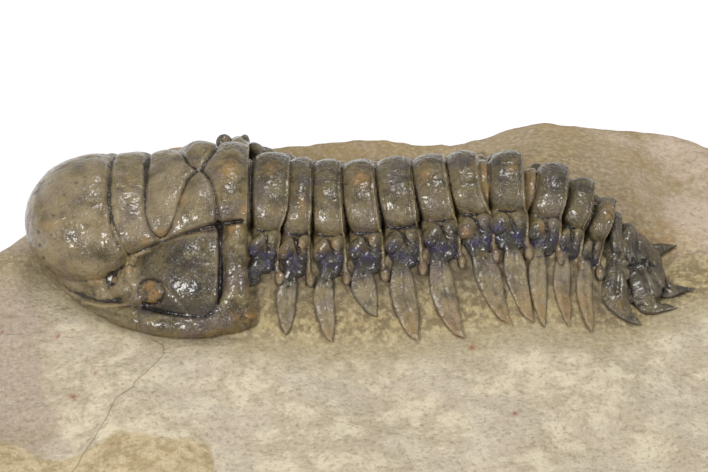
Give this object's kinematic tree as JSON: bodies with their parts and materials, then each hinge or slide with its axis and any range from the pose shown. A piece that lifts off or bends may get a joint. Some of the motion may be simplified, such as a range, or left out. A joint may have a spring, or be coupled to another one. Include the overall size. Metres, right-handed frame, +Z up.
{
  "type": "fossil trilobite (crotalocephalina) on its limestone matrix",
  "caption": "Fossil trilobite lying prepared on a slab of its limestone: head shield, ringed spiny thorax and spiny tail shield, standing on the slab's flat underside.",
  "frame": {"origin": "middle of the slab's flat underside", "axes": "+X from the trilobite's head to its tail, along the slab's length; +Y towards the animal's right side; +Z up through its back"},
  "size_m": [0.1216, 0.0752, 0.0383],
  "materials": {
    "limestone": "rough",
    "fossil_shell": "gloss"
  },
  "bodies": {
    "root": {"limestone_matrix": "limestone", "head_shield": "fossil_shell", "thoracic_segment_1": "fossil_shell", "thoracic_segment_2": "fossil_shell", "thoracic_segment_3": "fossil_shell", "thoracic_segment_4": "fossil_shell", "thoracic_segment_5": "fossil_shell", "thoracic_segment_6": "fossil_shell", "thoracic_segment_7": "fossil_shell", "thoracic_segment_8": "fossil_shell", "thoracic_segment_9": "fossil_shell", "thoracic_segment_10": "fossil_shell", "thoracic_segment_11": "fossil_shell", "tail_shield": "fossil_shell"}
  },
  "joints": []
}
